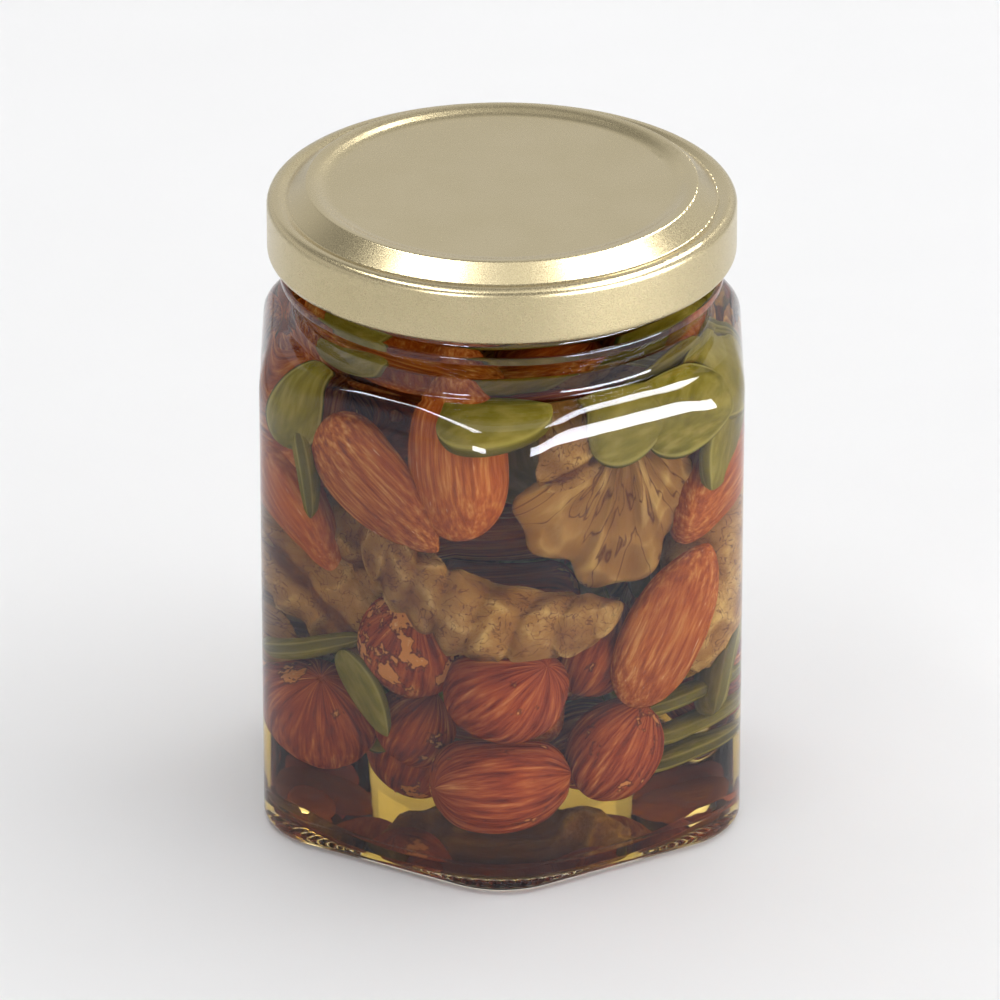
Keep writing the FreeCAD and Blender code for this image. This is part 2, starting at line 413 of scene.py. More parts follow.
def hazelnut(length, width, thickness, seed):
    """Nearly round, with a small point at one end and a flatter base at the other."""
    along, around = spindle(36, 56)
    polar = np.arccos(1 - 2 * along)
    point = 0.09 * np.exp(-((polar - math.pi) / 0.45) ** 2)
    base = 0.1 * np.exp(-(polar / 0.7) ** 2)
    round_part = 1 + point - base
    x = -length / 2 * np.cos(polar) * round_part
    across = np.sin(polar) * round_part
    y = width / 2 * across * np.cos(around)
    z = thickness / 2 * across * np.sin(around)
    places = np.stack([x * 0.25, y, z], axis=-1) + seed * 5.1
    wrinkles = noise(places, 1.6, seed) * 0.02
    lumps = noise(np.stack([x, y, z], axis=-1) + seed, 5, seed + 2) * 0.045
    swell = 1 + wrinkles + lumps
    vertices, faces = skin(x * swell, y * swell, z * swell, length)
    spin = np.arctan2(vertices[:, 2], vertices[:, 1])
    grain = np.stack([vertices[:, 0] * 0.12, 5 * np.cos(spin), 5 * np.sin(spin)], axis=1)
    return vertices, faces, grain


def ridged(x, y, z, seed, size, depth):
    """Winding ridges of a walnut: how much the surface swells, and the ridge height itself."""
    places = np.stack([x, y, z], axis=-1) + seed * 9.7
    warp = np.stack([noise(places, size * 1.3, seed + part) for part in (1, 2, 3)], axis=-1) * size * 0.7
    winding = places + warp
    ridges = 1 - 2 * np.abs(noise(winding, size, seed + 4)) ** 0.8
    fine = noise(winding, size / 3, seed + 5)
    return depth * (ridges + 0.25 * fine), ridges


def walnut(length, width, thickness, seed):
    """Half a kernel: two lobes with a seam between them, and winding ridges."""
    along, around = spindle(62, 80)
    polar = np.arccos(1 - 2 * along)
    x = -length / 2 * np.cos(polar)
    y = width / 2 * np.sin(polar) * np.cos(around)
    z = thickness / 2 * np.sin(polar) * np.sin(around)
    swelling, ridges = ridged(x, y, z, seed, 4.2, 0.12)
    seam = np.exp(-(y / (0.07 * width)) ** 2) * np.clip(np.sin(around), 0, 1)
    from_middle = (y / (0.3 * width)) ** 2 + (x / (0.4 * length)) ** 2
    hollow = np.exp(-from_middle) * np.clip(-np.sin(around), 0, 1)
    swell = 1 + swelling - 0.3 * seam - 0.5 * hollow
    vertices, faces = skin(x * swell, y * swell, z * swell, length)
    # Height for the colour: ridges up and the seam pushed far down, which the material paints as
    # highlight and shade.
    height = np.concatenate([[0], (ridges - seam * 2).reshape(-1), [0]])
    return vertices, faces, vertices.copy(), height


def curved_walnut(length, width, thickness, seed):
    """One lobe of a kernel, bent like a crescent with knobs along its outer side."""
    along, around = spindle(120, 96)
    bulk = (4 * along * (1 - along)) ** 0.3
    x = (along - 0.5) * length
    outer = np.clip(-np.cos(around), 0, 1)
    knobs = np.abs(np.sin(along * length / 4.6 * math.pi + 0.6 * np.sin(around))) ** 0.7
    y = width / 2 * bulk * np.cos(around) * (0.8 + 0.3 * knobs * outer)
    z = thickness / 2 * bulk * np.sin(around) * (0.86 + 0.2 * knobs)
    swelling, ridges = ridged(x, y, z, seed, 3.4, 0.09)
    swell = 1 + swelling
    sag = 6.5 * (2 * along - 1) ** 2 - 2.5
    vertices, faces = skin(x * 0.96, y * swell + sag, z * swell, length)
    vertices[0] = (-length / 2 * 0.96, 4, 0)
    vertices[-1] = (length / 2 * 0.96, 4, 0)
    # Height for the colour, knobs raised, which the material paints as highlight and shade.
    height = np.concatenate([[0], (ridges + knobs * 0.6 - 0.5).reshape(-1), [0]])
    return vertices, faces, vertices.copy(), height


def walnut_fan(length, width, thickness, seed):
    """Broken half kernel: lobes spread like a fan, with ridges running down from its top."""
    along, around = spindle(110, 150)
    polar = np.arccos(1 - 2 * along)
    flat_x = np.sin(polar) * np.cos(around)
    flat_y = -np.cos(polar)
    direction = np.arctan2(flat_y, 1.15 - flat_x)
    lobes = 0.13 * np.cos(direction * 7 + 0.7) + 0.07 * np.cos(direction * 17 + seed)
    edge = 1 + lobes * np.clip(1.2 - flat_x, 0, 1)
    x = length / 2 * flat_x * edge
    y = width / 2 * flat_y * edge
    z = thickness / 2 * np.sin(polar) * np.sin(around)
    folds = np.cos(direction * 26 + 2.5 * noise(np.stack([x, y, z], axis=-1), 5, seed))
    swelling, ridges = ridged(x, y, z, seed, 4.5, 0.1)
    front = np.clip(np.sin(around), 0, 1)
    z = z * (1 + swelling * 2) + front * 0.35 * folds * np.clip(1 - np.abs(flat_x), 0, 1) ** 0.3
    points = np.stack([x, y, z], axis=-1)
    rows, columns = x.shape
    vertices = np.concatenate([[[0, -width / 2, 0]], points.reshape(-1, 3), [[0, width / 2, 0]]])
    faces = [face[::-1] for face in closed_faces(rows, columns)]
    # Height for the colour, ridges and fold crests raised, which the material paints as highlight and
    # shade.
    height = np.concatenate([[0], (0.5 * ridges + 0.25 * folds + 0.25).reshape(-1), [0]])
    reach = length * 0.62 - vertices[:, 0]
    spread = np.arctan2(vertices[:, 1], reach)
    grain = np.stack([spread * 9, np.hypot(vertices[:, 1], reach) * 0.14, vertices[:, 2] * 0.2], axis=1)
    return vertices, faces, grain, height


def pumpkin_seed(length, width, thickness, seed):
    """Flat drop with a low rim and slightly domed faces."""
    along, around = spindle(30, 44)
    broad = along ** 0.5 * (1 - along) ** 0.72
    broad = broad / broad.max()
    thick = np.minimum(1, 3.2 * np.sqrt(along * (1 - along)))
    x = (along - 0.5) * length
    y = width / 2 * broad * np.cos(around)
    edge = np.abs(np.cos(around))
    dome = np.abs(np.sin(around)) ** 0.75 * (1 - 0.16 * np.exp(-((edge - 0.86) / 0.07) ** 2))
    z = thickness / 2 * thick * broad ** 0.35 * np.sign(np.sin(around)) * dome
    lumps = noise(np.stack([x, y, z], axis=-1) + seed * 3.3, 4, seed)
    bow = 0.9 * noise(np.array([[seed * 1.7, 5, 0]]), 1, seed)[0]
    z = z * (1 + 0.12 * lumps) + bow * (4 * along * (1 - along) - 0.6)
    vertices, faces = skin(x, y, z, length)
    # Edge share for the colour: near 1 at the rim, where the material paints a pale highlight band and a
    # dark shaded outline.
    height = np.concatenate([[1], edge.reshape(-1), [1]])
    return vertices, faces, vertices.copy(), height


SHAPES = {
    "almond": almond,
    "hazelnut": hazelnut,
    "peeled_hazelnut": hazelnut,
    "walnut": walnut,
    "curved_walnut": curved_walnut,
    "walnut_fan": walnut_fan,
    "pumpkin_seed": pumpkin_seed,
}


# ---------------------------------------------------------------- where the nuts lie

def turned_frame(azimuth, tilt, lean, roll):
    """Columns are a nut's own axes: its length, width and thickness, as seen facing a pane."""
    angle = math.radians(azimuth)
    outward = np.array([math.cos(angle), math.sin(angle), 0])
    right = np.array([-outward[1], outward[0], 0])
    up = np.array([0, 0, 1.0])
    tilt, lean, roll = (math.radians(value) for value in (tilt, lean, roll))
    length = math.cos(lean) * (math.cos(tilt) * right + math.sin(tilt) * up) + math.sin(lean) * outward
    level = unit(np.cross(outward, length))
    facing = np.cross(length, level)
    width = math.cos(roll) * level + math.sin(roll) * facing
    thickness = np.cross(length, width)
    return np.stack([length, width, thickness], axis=1)


# kind, pane azimuth, across, height, depth, tilt, lean, roll, (length, width, thickness)
LEFT_SIDE = 180
LEFT = 240
CORNER = 270
RIGHT = 300
RIGHT_SIDE = 0
SHOWN = [
    ("almond", LEFT, -2.6, 52.9, 4.5, -37, 0, 0, (22.4, 12.3, 8)),
    ("almond", LEFT, 6.8, 59.5, 6.5, 100, -10, 0, (23.5, 11.8, 8)),
    ("pumpkin_seed", LEFT, -15.6, 60.4, 3.8, 74, -25, 0, (9.6, 7.2, 2.8)),
    ("almond", LEFT_SIDE, 3.0, 52.5, 7.0, 5, 0, 20, (23, 11, 8)),
    ("almond", LEFT_SIDE, 3.0, 62.0, 4.6, 84, 6, 0, (23, 12.5, 8)),
    ("pumpkin_seed", LEFT, -13.2, 52.8, 4.5, -83, 0, 78, (13, 8, 2.7)),
    ("pumpkin_seed", LEFT_SIDE, 7.0, 48.6, 4.3, -50, 0, 62, (10, 7, 2.8)),
    ("almond", LEFT, -14.8, 45.5, 9.5, -58, 10, 70, (20, 11, 7)),
    ("curved_walnut", CORNER, -2.5, 38.8, 10.3, -22, 7, -48, (34, 12, 11)),
    ("walnut", LEFT, -14.0, 38.8, 13.0, 14, 20, 0, (25, 17, 12)),
    ("walnut", LEFT, -12.6, 34.0, 9.3, -38, 5, 0, (21, 13, 11)),
    ("pumpkin_seed", LEFT, -12.3, 27.6, 5.6, 24, 6, 78, (16, 8.5, 2.8)),
    ("pumpkin_seed", LEFT, -4.4, 23.3, 3.6, -57, 0, 28, (13.0, 7.4, 2.7)),
    ("peeled_hazelnut", LEFT, 0.8, 30.5, 7.6, 70, 30, 0, (15, 14.6, 14.4)),
    ("hazelnut", LEFT, -13.2, 16.6, 8.2, 80, 35, 0, (15.5, 15.2, 15)),
    ("hazelnut", LEFT, 0.2, 17.3, 12.0, 60, 0, 0, (12, 11.6, 11.6)),
    ("hazelnut", CORNER, 0.5, 25.9, 7.2, 50, 25, 0, (13.6, 13.2, 13.2)),
    ("hazelnut", CORNER, -0.9, 12.8, 7.2, 4, -12, 0, (15.8, 13.2, 13)),
    ("hazelnut", RIGHT, 2.0, 14.4, 7.5, 55, 15, 0, (14.8, 14.4, 14.2)),
    ("almond", RIGHT, 9.2, 31.6, 4.7, 62, 0, 0, (23.8, 12.9, 8)),
    ("walnut_fan", RIGHT, 1.6, 49.4, 7.0, 84, 0, 0, (19.5, 23.5, 8.5)),
    ("pumpkin_seed", CORNER, -0.6, 63.2, 5.8, 2, 0, -58, (13.8, 8.0, 2.8)),
    ("pumpkin_seed", RIGHT, 2.6, 61.2, 3.6, 8, 0, -30, (11.6, 8.8, 2.8)),
    ("pumpkin_seed", RIGHT, 11.6, 60.4, 4.4, 6, -15, -25, (13.6, 9.0, 2.8)),
    ("pumpkin_seed", RIGHT_SIDE, -4.5, 61.5, 4.0, 10, 0, -45, (15, 9, 2.8)),
    ("pumpkin_seed", RIGHT_SIDE, -11.0, 55.5, 3.6, 60, 0, 0, (14, 8.5, 2.8)),
    ("almond", RIGHT_SIDE, -7.0, 49.5, 5.8, 20, 0, 20, (23, 12, 8)),
    ("walnut", RIGHT_SIDE, -6.0, 40.0, 8.0, 60, 0, 20, (22, 16, 12)),
    ("walnut", RIGHT_SIDE, -8.0, 31.0, 7.5, 80, 0, 20, (18, 14, 11)),
    ("pumpkin_seed", RIGHT_SIDE, -9.0, 23.0, 3.8, 60, 0, 35, (15, 8.5, 2.8)),
    ("pumpkin_seed", RIGHT, 12.5, 19.6, 8.6, 4, -12, 80, (15, 8.5, 2.8)),
    ("pumpkin_seed", RIGHT, 13.2, 15.0, 9.0, 6, -14, 80, (15, 8.5, 2.8)),
    ("pumpkin_seed", RIGHT, 12.6, 11.4, 8.4, 4, -10, 84, (15, 8.5, 2.8)),
    ("hazelnut", RIGHT, 0.7, 28.0, 12.6, 60, 0, 0, (13.5, 13, 13)),
    ("pumpkin_seed", LEFT, -8.8, 67.4, 10.0, 37, 19, -20, (16, 8.8, 2.8)),
    ("walnut", CORNER, 0.5, 10.5, 37.0, 0, 0, 0, (21, 17, 12)),
    ("hazelnut", CORNER, 6.0, 12.5, 24.0, 20, 0, 0, (13, 13, 12.5)),
    ("hazelnut", CORNER, -7.0, 10.0, 27.0, 70, 0, 0, (13, 13, 12.5)),
    ("walnut", RIGHT, -4.6, 57.6, 6.5, 20, 0, 0, (9.5, 7.5, 6)),
]

# Pockets of honey between the shown nuts: pane azimuth, across, height, depth, radius
POCKETS = [
    (CORNER, -19.0, 9.0, 12.0, 4.0),
    (CORNER, -17.5, 7.0, 22.0, 4.5),
    (CORNER, -16.0, 5.5, 32.0, 4.5),
    (CORNER, -13.0, 6.0, 44.0, 4.5),
    (CORNER, -11.0, 7.5, 54.0, 4.5),
    (CORNER, 21.0, 9.0, 12.0, 4.0),
    (CORNER, 19.0, 7.0, 22.0, 4.5),
    (CORNER, 17.0, 5.5, 32.0, 4.5),
    (CORNER, 14.5, 6.0, 44.0, 4.5),
    (CORNER, 12.5, 7.5, 54.0, 4.5),
    (CORNER, 0.0, 73.0, 12.0, 7.5),
    (RIGHT, 4.0, 72.0, 9.0, 8.0),
    (LEFT, 2.0, 72.0, 8.0, 6.0),
    (CORNER, 2.5, 51.0, 9.0, 6.0),
    (CORNER, 0.5, 45.0, 15.0, 6.5),
    (RIGHT, 1.5, 36.5, 9.0, 4.5),
    (LEFT, -9.0, 42.0, 6.0, 3.0),
]

HIDDEN = {
    "walnut": (5, (26, 19, 12)),
    "hazelnut": (12, (14, 13.6, 13.4)),
    "almond": (19, (23.5, 12.3, 8)),
    "pumpkin_seed": (30, (15.3, 8.6, 2.7)),
}

# Spheres that stand for each kind while the hidden nuts are pushed apart:
# place along the length and width as shares of them, radius as a share of the thickness.
STAND_INS = {
    "almond": [
        (-0.3, 0, 0.5), (-0.12, -0.2, 0.5), (-0.12, 0.2, 0.5),
        (0.12, -0.15, 0.48), (0.12, 0.15, 0.48), (0.32, 0, 0.4),
    ],
    "hazelnut": [(0, 0, 0.5)],
    "peeled_hazelnut": [(0, 0, 0.5)],
    "walnut": [(-0.28, 0, 0.5), (0, -0.22, 0.5), (0, 0.22, 0.5), (0.28, 0, 0.5)],
    "curved_walnut": [
        (-0.38, 0.2, 0.4), (-0.18, 0, 0.5), (0, -0.05, 0.5), (0.18, 0, 0.5), (0.38, 0.2, 0.4),
    ],
    "walnut_fan": [
        (-0.2, -0.22, 0.5), (-0.2, 0.22, 0.5), (0.2, -0.2, 0.5),
        (0.2, 0.2, 0.5), (0, -0.36, 0.4), (0, 0.36, 0.4),
    ],
    "pocket": [(0, 0, 0.5)],
    "pumpkin_seed": [
        (-0.38, 0, 0.5), (-0.2, -0.2, 0.5), (-0.2, 0.2, 0.5),
        (0, 0, 0.5), (0, -0.3, 0.5), (0, 0.3, 0.5),
        (0.2, -0.15, 0.5), (0.2, 0.15, 0.5), (0.38, 0, 0.5),
    ],
}


def pane_point(azimuth, across, height, depth):
    """Place behind a pane, or behind the front corner."""
    angle = math.radians(azimuth)
    outward = np.array([math.cos(angle), math.sin(angle), 0])
    right = np.array([-outward[1], outward[0], 0])
    wall = INNER_REACH if azimuth == CORNER else INNER_FLATS
    return outward * (wall - depth) + right * across + np.array([0, 0, height])


def nut_record(kind, middle, axes, size, fixed):
    return {"kind": kind, "middle": middle, "axes": axes, "size": size, "fixed": fixed}


def shown_nuts():
    """The nuts that the photo shows, and the pockets of honey between them."""
    nuts = []
    for kind, azimuth, across, height, depth, tilt, lean, roll, size in SHOWN:
        axes = turned_frame(azimuth, tilt, lean, roll)
        middle = pane_point(azimuth, across, height, depth)
        nuts.append(nut_record(kind, middle, axes, np.array(size, float), True))
    for azimuth, across, height, depth, radius in POCKETS:
        middle = pane_point(azimuth, across, height, depth)
        nuts.append(nut_record("pocket", middle, np.eye(3), np.full(3, radius * 2), True))
    return nuts


def random_axes(random):
    frame_matrix, _ = np.linalg.qr(random.normal(size=(3, 3)))
    if np.linalg.det(frame_matrix) < 0:
        frame_matrix[:, 2] *= -1
    return frame_matrix


def hidden_nuts(random):
    """The rest of the filling, strewn at random before it settles."""
    nuts = []
    for kind, (count, size) in HIDDEN.items():
        for _ in range(count):
            angle = random.uniform(0, 2 * math.pi)
            across = 24 * math.sqrt(random.uniform(0, 1))
            middle = np.array([across * math.cos(angle), across * math.sin(angle), random.uniform(8, 78)])
            scale = random.uniform(0.92, 1.07, 3)
            nuts.append(nut_record(kind, middle, random_axes(random), np.array(size) * scale, False))
    return nuts


def stand_in_spheres(nuts):
    """Owner, offset from the owner's middle and radius of every sphere."""
    owners = []
    arms = []
    radii = []
    for index, nut in enumerate(nuts):
        for along, across, share in STAND_INS[nut["kind"]]:
            owners.append(index)
            arms.append(nut["axes"] @ (np.array([along, across, 0]) * nut["size"]))
            radii.append(share * nut["size"][2])
    return np.array(owners), np.array(arms), np.array(radii)


def wall_push(centers, radii, front_depth, bottom):
    """How far each sphere has to move to be in the honey, behind the front panes and off the bottom."""
    push = np.zeros_like(centers)
    for side in range(SIDES):
        angle = math.radians(60 * side)
        outward = np.array([math.cos(angle), math.sin(angle), 0])
        clear = np.where(outward[1] < -0.5, front_depth, CLEARANCE)
        over = centers @ outward + radii - (INNER_FLATS - clear)
        push -= np.maximum(over, 0)[:, None] * outward
    across = np.linalg.norm(centers[:, :2], axis=1)
    narrow = np.clip((centers[:, 2] + radii * 0.6 - FACE_HEIGHT) / 3.4, 0, 1)
    limit = BORE + (INNER_REACH - CLEARANCE - BORE) * np.sqrt(1 - narrow ** 2)
    over = np.maximum(across + radii - limit, 0)
    push[:, :2] -= centers[:, :2] / np.maximum(across, 1)[:, None] * over[:, None]
    push[:, 2] += np.maximum(bottom - (centers[:, 2] - radii), 0)
    push[:, 2] -= np.maximum(centers[:, 2] + radii - NUTS_TOP, 0)
    return push


def settle(nuts):
    """Pushes the hidden nuts apart, and clear of the shown ones and of the glass."""
    fixed = np.array([nut["fixed"] for nut in nuts])
    for _ in range(ROUNDS):
        owners, arms, radii = stand_in_spheres(nuts)
        held = fixed[owners]
        middles = np.array([nut["middle"] for nut in nuts])
        centers = middles[owners] + arms
        gaps = centers[:, None, :] - centers[None, :, :]
        apart = np.linalg.norm(gaps, axis=2) + 1e-9
        over = radii[:, None] + radii[None, :] - apart
        over[owners[:, None] == owners[None, :]] = 0
        over = np.maximum(over, 0)
        share = np.where(held[None, :], 1.0, 0.5)
        push = (gaps / apart[..., None] * (over * share)[..., None]).sum(axis=1)
        front = np.where(held, CLEARANCE, FRONT_DEPTH)
        bottom = np.where(held, SHOWN_BOTTOM, NUTS_BOTTOM)
        push = push + wall_push(centers, radii, front, bottom)
        for index, nut in enumerate(nuts):
            if fixed[index]:
                continue
            mine = owners == index
            pushes = push[mine]
            move = pushes.mean(axis=0)
            longest = np.abs(move).max()
            nut["middle"] = nut["middle"] + move * min(1, 2.5 / max(longest, 1e-9)) * 0.8
            twist = np.cross(arms[mine], pushes).sum(axis=0) / (nut["size"][0] ** 2)
            amount = np.linalg.norm(twist)
            if amount > 1e-6:
                nut["axes"] = spun(nut["axes"], twist / amount, min(amount, 0.15))
    return nuts


def held_inside(nuts):
    """Moves the shown nuts in where they would reach into the glass."""
    for nut in nuts:
        for _ in range(HOLDING_ROUNDS):
            _, arms, radii = stand_in_spheres([nut])
            push = wall_push(nut["middle"] + arms, radii, CLEARANCE, SHOWN_BOTTOM)
            nut["middle"] = nut["middle"] + push[np.argmax(np.linalg.norm(push, axis=1))] * 0.7
    return nuts


def spun(axes, about, angle):
    """Axes turned about a direction."""
    x, y, z = about
    cross = np.array([[0, -z, y], [z, 0, -x], [-y, x, 0]])
    turn = np.eye(3) + math.sin(angle) * cross + (1 - math.cos(angle)) * cross @ cross
    turned, _ = np.linalg.qr(turn @ axes)
    return turned * np.sign(np.sum(turned * (turn @ axes), axis=0))


def kind_object(name, kinds, nuts, material):
    """Every nut of one kind joined in one mesh, with what its material needs."""
    vertices = []
    faces = []
    grains = []
    heights = []
    tones = []
    first = 0
    random = np.random.default_rng(SEED + len(name))
    for index, nut in enumerate(nuts):
        if nut["kind"] not in kinds:
            continue
        made = SHAPES[nut["kind"]](*nut["size"], index + 3)
        points, own_faces, grain = made[:3]
        height = made[3] if len(made) > 3 else np.zeros(len(points))
        vertices.append(points @ nut["axes"].T + nut["middle"])
        faces.extend([[corner + first for corner in face] for face in own_faces])
        grains.append(grain + index * 13.7)
        heights.append(height)
        tone = 1.0 if nut["kind"] == "peeled_hazelnut" else random.uniform(0, 0.75)
        tones.append(np.full(len(points), tone))
        first += len(points)
    vertices = np.concatenate(vertices)
    made = make_object(name, vertices, faces, [material])
    grain_layer = made.data.attributes.new("grain", "FLOAT_VECTOR", "POINT")
    grain_layer.data.foreach_set("vector", np.concatenate(grains).astype(np.float32).ravel())
    for label, values in (("height", heights), ("tone", tones)):
        layer = made.data.attributes.new(label, "FLOAT", "POINT")
        layer.data.foreach_set("value", np.concatenate(values).astype(np.float32))
    return made


# ---------------------------------------------------------------- materials

class Nodes:
    """Short way to build one material's nodes."""

    def __init__(self, name):
        self.material = bpy.data.materials.new(name)
        self.material.use_nodes = True
        self.tree = self.material.node_tree
        self.shader = self.tree.nodes["Principled BSDF"]
        self.output = self.tree.nodes["Material Output"]

    def link(self, source, target):
        self.tree.links.new(source, target)

    def attribute(self, name, output):
        node = self.tree.nodes.new("ShaderNodeAttribute")
        node.attribute_name = name
        return node.outputs[output]

    def object_place(self):
        return self.tree.nodes.new("ShaderNodeTexCoord").outputs["Object"]

    def mapped(self, place, scale):
        node = self.tree.nodes.new("ShaderNodeMapping")
        node.inputs["Scale"].default_value = scale
        self.link(place, node.inputs["Vector"])
        return node.outputs["Vector"]

    def noise(self, place, scale, detail=2.0, roughness=0.5, distortion=0.0):
        node = self.tree.nodes.new("ShaderNodeTexNoise")
        node.inputs["Scale"].default_value = scale
        node.inputs["Detail"].default_value = detail
        node.inputs["Roughness"].default_value = roughness
        node.inputs["Distortion"].default_value = distortion
        self.link(place, node.inputs["Vector"])
        return node.outputs["Fac"]

    def ramp(self, value, stops):
        node = self.tree.nodes.new("ShaderNodeValToRGB")
        elements = node.color_ramp.elements
        while len(elements) < len(stops):
            elements.new(0.5)
        for element, (place, color) in zip(elements, stops):
            element.position = place
            element.color = color
        self.link(value, node.inputs["Fac"])
        return node.outputs["Color"]

    def remap(self, value, low, high, new_low, new_high):
        node = self.tree.nodes.new("ShaderNodeMapRange")
        node.inputs["From Min"].default_value = low
        node.inputs["From Max"].default_value = high
        node.inputs["To Min"].default_value = new_low
        node.inputs["To Max"].default_value = new_high
        self.link(value, node.inputs["Value"])
        return node.outputs["Result"]

    def mix(self, share, first, second, mode="MIX"):
        node = self.tree.nodes.new("ShaderNodeMix")
        node.data_type = "RGBA"
        node.blend_type = mode
        inputs = [socket for socket in node.inputs if socket.enabled]
        for socket, value in zip(inputs, (share, first, second)):
            if isinstance(value, bpy.types.NodeSocket):
                self.link(value, socket)
            else:
                socket.default_value = value
        outputs = [socket for socket in node.outputs if socket.enabled]
        return outputs[0]

    def math(self, operation, first, second):
        node = self.tree.nodes.new("ShaderNodeMath")
        node.operation = operation
        for socket, value in zip(node.inputs, (first, second)):
            if isinstance(value, bpy.types.NodeSocket):
                self.link(value, socket)
            else:
                socket.default_value = value
        return node.outputs["Value"]

    def bump(self, height, strength, distance):
        node = self.tree.nodes.new("ShaderNodeBump")
        node.inputs["Strength"].default_value = strength
        node.inputs["Distance"].default_value = distance
        self.link(height, node.inputs["Height"])
        self.link(node.outputs["Normal"], self.shader.inputs["Normal"])

    def set(self, **values):
        for name, value in values.items():
            self.shader.inputs[name.replace("_", " ")].default_value = value


def glass_material():
    nodes = Nodes("clear_glass")
    nodes.set(Base_Color=(1, 1, 1, 1), Roughness=0.0, IOR=GLASS_INDEX, Transmission_Weight=1.0)
    nodes.set(Specular_Tint=(0.88, 0.9, 1, 1))
    place = nodes.object_place()
    nodes.bump(nodes.noise(place, 90, 1.0), 0.25, 0.0002)
    return nodes.material


def wet_glass_material():
    """Glass against honey bends light by the ratio of the two only, and hardly reflects."""
    nodes = Nodes("glass_against_honey")
    nodes.set(Base_Color=(1, 1, 1, 1), Roughness=0.0, Transmission_Weight=1.0)
    nodes.set(IOR=GLASS_AGAINST_HONEY)
    place = nodes.object_place()
    nodes.bump(nodes.noise(place, 70, 1.0), 0.2, 0.0002)
    return nodes.material


def honey_material(name, bend):
    """Amber honey; its side lies in the glass, where the wall has already bent the light."""
    nodes = Nodes(name)
    nodes.set(Base_Color=(1, 1, 1, 1), Roughness=0.0, IOR=bend, Transmission_Weight=1.0)
    absorb = nodes.tree.nodes.new("ShaderNodeVolumeAbsorption")
    absorb.inputs["Color"].default_value = (0.83, 0.69, 0.11, 1)
    absorb.inputs["Density"].default_value = 60
    nodes.link(absorb.outputs["Volume"], nodes.output.inputs["Volume"])
    return nodes.material


def dry_look(nodes):
    """Nuts in honey have no shine of their own."""
    nodes.set(Roughness=0.8, Specular_IOR_Level=0.0)


def almond_material():
    nodes = Nodes("almond_skin")
    dry_look(nodes)
    grain = nodes.attribute("grain", "Vector")
    streaks = nodes.noise(grain, 1.5, 6.0, 0.66)
    color = nodes.ramp(streaks, [
        (0.36, linear(96, 38, 20)),
        (0.47, linear(150, 78, 36)),
        (0.56, linear(182, 112, 54)),
        (0.68, linear(216, 164, 98)),
    ])
    patches = nodes.noise(nodes.mapped(grain, (4.0, 1.0, 1.0)), 0.16, 2.0)
    color = nodes.mix(nodes.remap(patches, 0.4, 0.7, 0.0, 0.45), color, linear(134, 48, 22))
    tone = nodes.attribute("tone", "Fac")
    color = nodes.mix(nodes.remap(tone, 0, 0.75, 0.0, 0.4), color, linear(206, 104, 44))
    scratches = nodes.remap(nodes.noise(grain, 2.6, 2.0, 0.5), 0.7, 0.75, 0.0, 0.6)
    color = nodes.mix(scratches, color, linear(236, 196, 150))
    nodes.link(color, nodes.shader.inputs["Base Color"])
    nodes.bump(streaks, 0.5, 0.0004)
    return nodes.material


def hazelnut_material():
    nodes = Nodes("hazelnut_skin")
    dry_look(nodes)
    grain = nodes.attribute("grain", "Vector")
    streaks = nodes.noise(grain, 1.5, 5.0, 0.62)
    color = nodes.ramp(streaks, [
        (0.32, linear(96, 30, 18)),
        (0.47, linear(140, 56, 31)),
        (0.6, linear(174, 88, 44)),
        (0.74, linear(214, 142, 80)),
    ])
    place = nodes.mapped(nodes.object_place(), (1000, 1000, 1000))
    tone = nodes.attribute("tone", "Fac")
    peel = nodes.math("ADD", nodes.noise(place, 0.2, 4.0, 0.65), nodes.remap(tone, 0.8, 0.9, 0.0, 0.12))
    color = nodes.mix(nodes.remap(peel, 0.6, 0.63, 0.0, 0.75), color, linear(72, 24, 18))
    color = nodes.mix(nodes.remap(peel, 0.635, 0.66, 0.0, 0.85), color, linear(214, 140, 74))
    color = nodes.mix(nodes.remap(peel, 0.73, 0.76, 0.0, 0.8), color, linear(232, 190, 132))
    nodes.link(color, nodes.shader.inputs["Base Color"])
    nodes.bump(streaks, 0.5, 0.0004)
    return nodes.material


def walnut_material():
    nodes = Nodes("walnut_kernel")
    dry_look(nodes)
    place = nodes.attribute("grain", "Vector")
    # Painted light: the kernel's colour follows its height, lighter on ridges and knobs as a painted
    # highlight and darker in grooves and the seam as painted shade; the mottling is the kernel's own
    # tone.
    height = nodes.attribute("height", "Fac")
    mottled = nodes.noise(place, 0.35, 4.0, 0.6)
    painted_relief_light = nodes.remap(height, -1.0, 1.0, 0.0, 0.8)
    mottle_and_painted_relief_light = nodes.math("ADD", painted_relief_light, nodes.remap(mottled, 0.3, 0.7, -0.2, 0.25))
    color = nodes.ramp(mottle_and_painted_relief_light, [
        (0.0, linear(114, 66, 38)),
        (0.3, linear(138, 95, 53)),
        (0.65, linear(162, 119, 68)),
        (0.95, linear(204, 168, 106)),
    ])
    winding = nodes.noise(place, 0.62, 2.0, 0.5, 0.6)
    from_vein = nodes.math("ABSOLUTE", nodes.math("SUBTRACT", winding, 0.5), 0.0)
    color = nodes.mix(nodes.remap(from_vein, 0.0, 0.022, 0.85, 0.0), color, linear(82, 38, 34))
    nodes.link(color, nodes.shader.inputs["Base Color"])
    nodes.bump(nodes.noise(place, 1.5, 3.0), 0.5, 0.0005)
    return nodes.material


